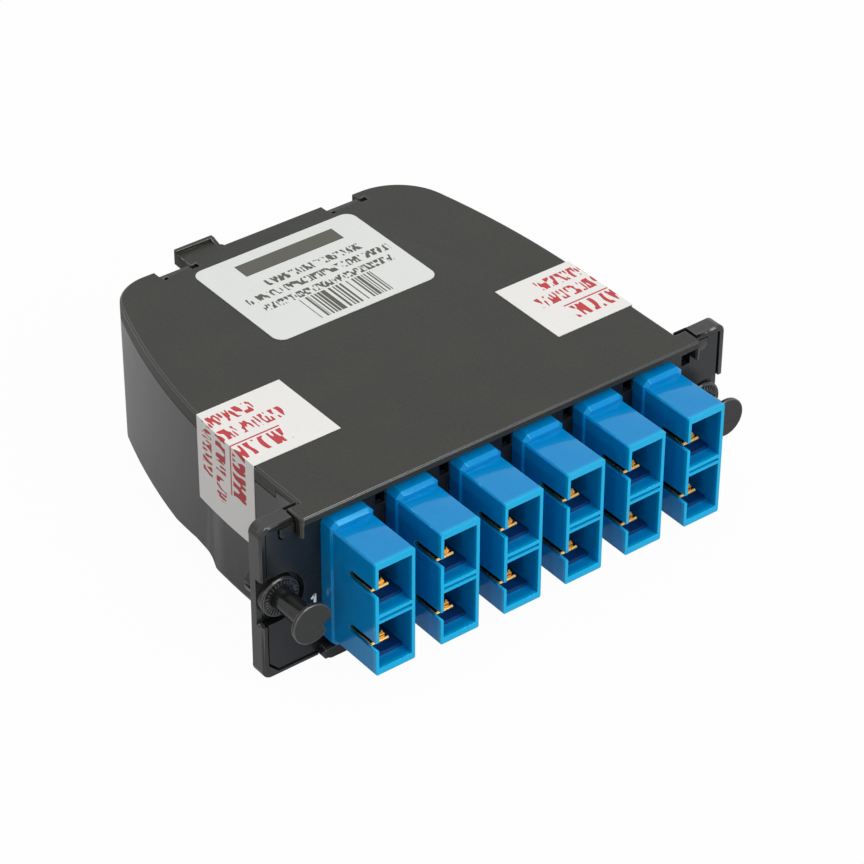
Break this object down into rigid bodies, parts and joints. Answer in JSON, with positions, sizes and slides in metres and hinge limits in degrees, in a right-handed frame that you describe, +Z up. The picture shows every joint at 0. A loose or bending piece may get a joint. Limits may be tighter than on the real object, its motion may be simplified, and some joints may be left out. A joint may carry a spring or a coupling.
{
  "type": "fibre cassette",
  "caption": "Low charcoal fibre cassette with blue duplex SC adapters along the front, a push latch on each ear and a multi-fibre port under a hood at the rear.",
  "frame": {"origin": "middle of the footprint's bounding box, level with its lowest point", "axes": "+X to the right along the panel seen from the front, +Y from the front to the rear, +Z up"},
  "size_m": [0.1138, 0.1042, 0.0365],
  "materials": {
    "housing_plastic": "fine matte grain",
    "panel_plastic": "satin",
    "latch_nylon": "satin",
    "adapter_plastic": "satin",
    "core_plastic": "satin",
    "sleeve_ceramic": "polished",
    "leaf_bronze": "bright",
    "clip_steel": "bright",
    "plug_plastic": "satin",
    "fibre_jacket": "satin",
    "fan_out_plastic": "satin",
    "rear_adapter_plastic": "satin",
    "rear_plug_plastic": "satin",
    "label_film": "satin",
    "seal_film": "matte"
  },
  "bodies": {
    "housing": {"cover": "housing_plastic", "base": "housing_plastic", "panel": "panel_plastic", "grommet_left": "latch_nylon", "grommet_right": "latch_nylon", "seal_left": "seal_film", "seal_right": "seal_film", "label": "label_film", "adapter_1": "adapter_plastic", "retaining_clip_1": "clip_steel", "latch_core_1": "core_plastic", "sleeves_1": "sleeve_ceramic", "leaves_1": "leaf_bronze", "inner_plugs_1": "plug_plastic", "adapter_2": "adapter_plastic", "retaining_clip_2": "clip_steel", "latch_core_2": "core_plastic", "sleeves_2": "sleeve_ceramic", "leaves_2": "leaf_bronze", "inner_plugs_2": "plug_plastic", "adapter_3": "adapter_plastic", "retaining_clip_3": "clip_steel", "latch_core_3": "core_plastic", "sleeves_3": "sleeve_ceramic", "leaves_3": "leaf_bronze", "inner_plugs_3": "plug_plastic", "adapter_4": "adapter_plastic", "retaining_clip_4": "clip_steel", "latch_core_4": "core_plastic", "sleeves_4": "sleeve_ceramic", "leaves_4": "leaf_bronze", "inner_plugs_4": "plug_plastic", "adapter_5": "adapter_plastic", "retaining_clip_5": "clip_steel", "latch_core_5": "core_plastic", "sleeves_5": "sleeve_ceramic", "leaves_5": "leaf_bronze", "inner_plugs_5": "plug_plastic", "adapter_6": "adapter_plastic", "retaining_clip_6": "clip_steel", "latch_core_6": "core_plastic", "sleeves_6": "sleeve_ceramic", "leaves_6": "leaf_bronze", "inner_plugs_6": "plug_plastic", "fibre_legs": "fibre_jacket", "fan_out": "fan_out_plastic", "ribbon": "fibre_jacket", "mpo_adapter": "rear_adapter_plastic", "mpo_plug": "rear_plug_plastic"},
    "left_plunger": {"plunger_left": "latch_nylon"},
    "right_plunger": {"plunger_right": "latch_nylon"}
  },
  "joints": [
    {"name": "left_latch_push", "type": "slide", "parent": "housing", "child": "left_plunger", "axis": [0, 1, 0], "range_m": [0, 0.0076]},
    {"name": "right_latch_push", "type": "slide", "parent": "housing", "child": "right_plunger", "axis": [0, 1, 0], "range_m": [-0.003, 0.0046]}
  ]
}
